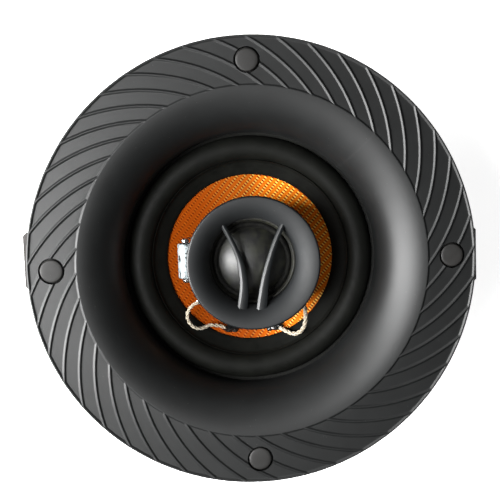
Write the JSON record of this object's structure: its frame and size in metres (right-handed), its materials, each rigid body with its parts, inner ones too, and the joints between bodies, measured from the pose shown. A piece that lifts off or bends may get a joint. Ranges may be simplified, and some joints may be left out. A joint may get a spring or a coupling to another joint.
{
  "type": "coaxial car speaker",
  "caption": "Round two-way coaxial car speaker with a ribbed horn bezel, woven cone, central finned tweeter and sprung cone travel.",
  "frame": {"origin": "centre of the mounting plane, which is the rear face of the gasket, on the speaker's axis", "axes": "+Z out of the front along the speaker's axis, +X towards the right-hand ear and +Y up, seen from the front"},
  "size_m": [0.1676, 0.165, 0.0704],
  "materials": {
    "bezel_plastic": "satin, fine moulded texture",
    "cap_plastic": "satin",
    "tweeter_plastic": "satin",
    "black_plastic": "matte",
    "black_steel": "satin black paint",
    "plated_steel": "zinc plated",
    "ferrite": "dull sintered",
    "foam": "matte closed-cell foam",
    "boot_rubber": "matte",
    "surround_rubber": "matte",
    "orange_weave": "woven and coated",
    "damper_cloth": "resin-dipped cloth",
    "foil": "satin",
    "copper_wire": "enamelled",
    "silk": "coated silk",
    "film_wrap": "satin",
    "tin": "tinned",
    "braid": "woven tinsel",
    "glue": "gloss",
    "fibre_board": "matte",
    "tab_brass": "plated"
  },
  "bodies": {
    "frame": {"basket": "black_steel", "rear_gasket": "foam", "front_bezel": "bezel_plastic", "top_plate": "plated_steel", "ferrite_magnet": "ferrite", "yoke": "plated_steel", "magnet_boot": "boot_rubber", "basket_rivets": "plated_steel", "tweeter_post": "black_plastic", "post_bolt": "plated_steel", "tweeter_housing": "tweeter_plastic", "tweeter_cup": "black_plastic", "tweeter_clamp_ring": "tweeter_plastic", "tweeter_yoke": "plated_steel", "tweeter_magnet": "plated_steel", "tweeter_pole_plate": "plated_steel", "tweeter_surround": "silk", "capacitor": "film_wrap", "capacitor_leads": "tin", "tweeter_lugs": "tin", "terminal_board": "fibre_board", "terminal_rivets": "tin", "terminal_positive": "tab_brass", "terminal_negative": "tab_brass", "surround": "surround_rubber", "spider": "damper_cloth", "front_lead_left": "braid", "front_lead_right": "braid", "rear_lead_left": "braid", "rear_lead_right": "braid"},
    "cone_assembly": {"cone": "orange_weave", "voice_coil_former": "foil", "voice_coil_winding": "copper_wire", "lead_eyelets": "tab_brass", "lead_glue": "glue"},
    "tweeter_diaphragm": {"tweeter_dome": "silk", "tweeter_coil": "copper_wire"},
    "screw_cap_right": {"screw_cap_right": "cap_plastic"},
    "screw_cap_top": {"screw_cap_top": "cap_plastic"},
    "screw_cap_left": {"screw_cap_left": "cap_plastic"},
    "screw_cap_bottom": {"screw_cap_bottom": "cap_plastic"}
  },
  "joints": [
    {"name": "cone_travel", "type": "slide", "parent": "frame", "child": "cone_assembly", "axis": [0, 0, 1], "range_m": [-0.003, 0.003], "stiffness_N_per_m": 1500, "deforming": ["surround", "spider", "front_lead_left", "front_lead_right", "rear_lead_left", "rear_lead_right"]},
    {"name": "tweeter_travel", "type": "slide", "parent": "frame", "child": "tweeter_diaphragm", "axis": [0, 0, 1], "range_m": [-0.0003, 0.0003], "stiffness_N_per_m": 60, "deforming": ["tweeter_surround"]},
    {"name": "screw_cap_right_lift", "type": "slide", "parent": "frame", "child": "screw_cap_right", "axis": [0, 0, 1], "range_m": [0, 0.012]},
    {"name": "screw_cap_top_lift", "type": "slide", "parent": "frame", "child": "screw_cap_top", "axis": [0, 0, 1], "range_m": [0, 0.012]},
    {"name": "screw_cap_left_lift", "type": "slide", "parent": "frame", "child": "screw_cap_left", "axis": [0, 0, 1], "range_m": [0, 0.012]},
    {"name": "screw_cap_bottom_lift", "type": "slide", "parent": "frame", "child": "screw_cap_bottom", "axis": [0, 0, 1], "range_m": [0, 0.012]}
  ]
}
